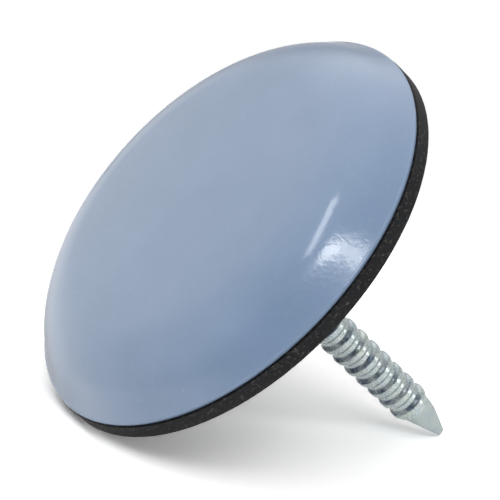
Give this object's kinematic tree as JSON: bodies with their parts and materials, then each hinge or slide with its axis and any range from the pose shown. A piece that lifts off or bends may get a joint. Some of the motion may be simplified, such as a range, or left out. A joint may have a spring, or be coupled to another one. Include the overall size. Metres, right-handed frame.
{
  "type": "furniture slider",
  "caption": "Round nail-on furniture slider: a low domed slide cap over a hard core and a thin rubber pad, with a ring-shank nail rising from the centre of its back.",
  "frame": {"origin": "centre of the slide face, at its lowest point on the axis", "axes": "+Z along the nail, from the slide face towards the tip; the slider is round about Z"},
  "size_m": [0.03, 0.03, 0.0276],
  "materials": {
    "ptfe": "satin blue-grey PTFE compound with a soft sheen",
    "core_plastic": "moulded dark plastic",
    "zinc_steel": "bright zinc plate with rolled rings and a matte cut point",
    "adhesive": "clear double-sided film",
    "rubber": "fine-grained black rubber"
  },
  "bodies": {
    "root": {"slide_cap": "ptfe", "core_disc": "core_plastic", "nail": "zinc_steel", "bond_film": "adhesive", "rubber_pad": "rubber"}
  },
  "joints": []
}
